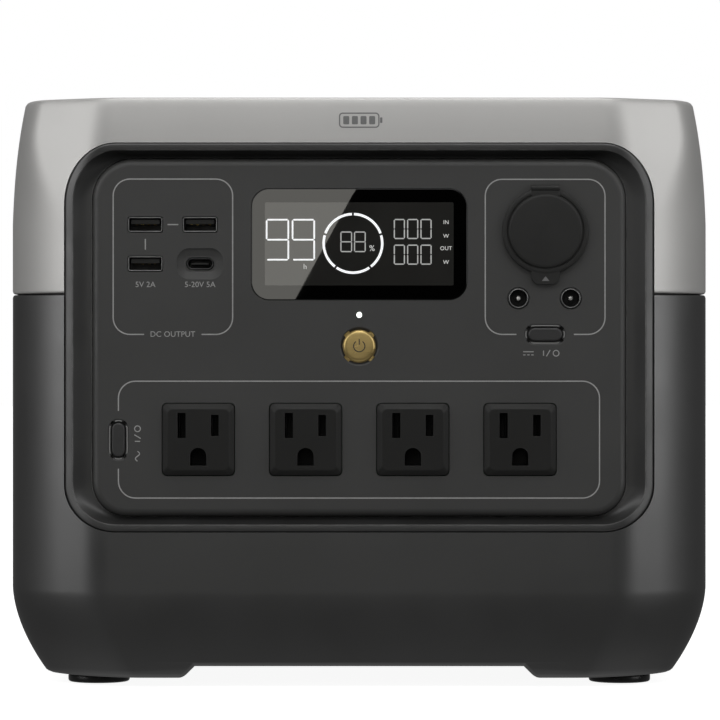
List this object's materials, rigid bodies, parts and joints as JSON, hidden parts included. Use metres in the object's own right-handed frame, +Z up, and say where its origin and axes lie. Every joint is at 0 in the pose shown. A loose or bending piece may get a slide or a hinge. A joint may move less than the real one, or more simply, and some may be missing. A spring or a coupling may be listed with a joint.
{
  "type": "portable power station",
  "caption": "Portable battery power station with a fixed rear handle, framed front panel with display, AC outlets, USB ports, car socket and buttons, side fans and a covered rear input.",
  "frame": {"origin": "middle of the base, on the surface the feet stand on", "axes": "+X to the right seen from the front, +Y from the front panel to the handle, +Z up"},
  "size_m": [0.27, 0.26, 0.226],
  "materials": {
    "light_case": "fine moulded grain, light grey",
    "dark_case": "fine moulded grain, charcoal",
    "bezel": "satin, dark grey",
    "panel": "fine grain, dark grey",
    "lens": "clear-coated black",
    "module": "black",
    "light": "frosted white",
    "plated": "nickel plated",
    "black": "satin black",
    "outlet": "semi-gloss black",
    "gold": "satin gold",
    "button": "satin dark grey",
    "rubber": "smooth",
    "board": "green solder mask",
    "sheet": "zinc plated sheet",
    "cell": "blue film",
    "alloy": "extruded",
    "winding": "varnished copper over a core",
    "cable": "red sleeve",
    "steel": "plated"
  },
  "bodies": {
    "case": {"upper_shell": "light_case", "handle_cover": "dark_case", "lower_shell": "dark_case", "front_bezel": "bezel", "front_panel": "panel", "display_lens": "lens", "display_module": "module", "status_light": "light", "usb_c_port": "plated", "usb_a_port_1": "plated", "usb_a_port_2": "plated", "usb_a_port_3": "plated", "car_socket": "plated", "io_board": "board", "ac_board": "board", "barrel_jack_left": "black", "barrel_jack_right": "black", "ac_outlet_1": "outlet", "ac_outlet_2": "outlet", "ac_outlet_3": "outlet", "ac_outlet_4": "outlet", "battery_tray": "sheet", "battery_clamp": "sheet", "bms_board": "board", "battery_cable": "cable", "cell_stack_1": "cell", "cell_stack_2": "cell", "cell_stack_3": "cell", "inverter_board": "board", "heat_sink_left": "alloy", "heat_sink_right": "alloy", "transformer": "winding", "capacitor_1": "module", "capacitor_2": "module", "fan_frame_left": "black", "fan_frame_right": "black", "vent_grille_left": "dark_case", "vent_grille_right": "dark_case", "input_panel": "panel", "door_hinge_pin": "steel", "ac_inlet": "black", "solar_inlet": "black", "foot_front_left": "rubber", "case_screw_front_left": "steel", "foot_front_right": "rubber", "case_screw_front_right": "steel", "foot_rear_left": "rubber", "case_screw_rear_left": "steel", "foot_rear_right": "rubber", "case_screw_rear_right": "steel"},
    "power_button": {"power_button": "gold"},
    "dc_button": {"dc_button": "button"},
    "ac_button": {"ac_button": "button"},
    "socket_cover": {"car_socket_cover": "black"},
    "input_door": {"input_door": "dark_case"},
    "fan_left": {"fan_rotor_left": "black"},
    "fan_right": {"fan_rotor_right": "black"}
  },
  "joints": [
    {"name": "power_button_press", "type": "slide", "parent": "case", "child": "power_button", "axis": [0, 1, 0], "range_m": [0, 0.001], "stiffness_N_per_m": 1500},
    {"name": "dc_button_press", "type": "slide", "parent": "case", "child": "dc_button", "axis": [0, 1, 0], "range_m": [0, 0.001], "stiffness_N_per_m": 1500},
    {"name": "ac_button_press", "type": "slide", "parent": "case", "child": "ac_button", "axis": [0, 1, 0], "range_m": [0, 0.001], "stiffness_N_per_m": 1500},
    {"name": "socket_cover_hinge", "type": "hinge", "parent": "case", "child": "socket_cover", "pos_m": [0.0712, -0.1286, 0.1913], "axis": [-1, 0, 0], "range_deg": [0, 140]},
    {"name": "input_door_hinge", "type": "hinge", "parent": "case", "child": "input_door", "pos_m": [0, 0.0783, 0.1602], "axis": [-1, 0, 0], "range_deg": [0, 110]},
    {"name": "fan_left_spin", "type": "hinge", "parent": "case", "child": "fan_left", "pos_m": [-0.1232, 0, 0.104], "axis": [1, 0, 0], "continuous": true},
    {"name": "fan_right_spin", "type": "hinge", "parent": "case", "child": "fan_right", "pos_m": [0.1232, 0, 0.104], "axis": [1, 0, 0], "continuous": true}
  ]
}
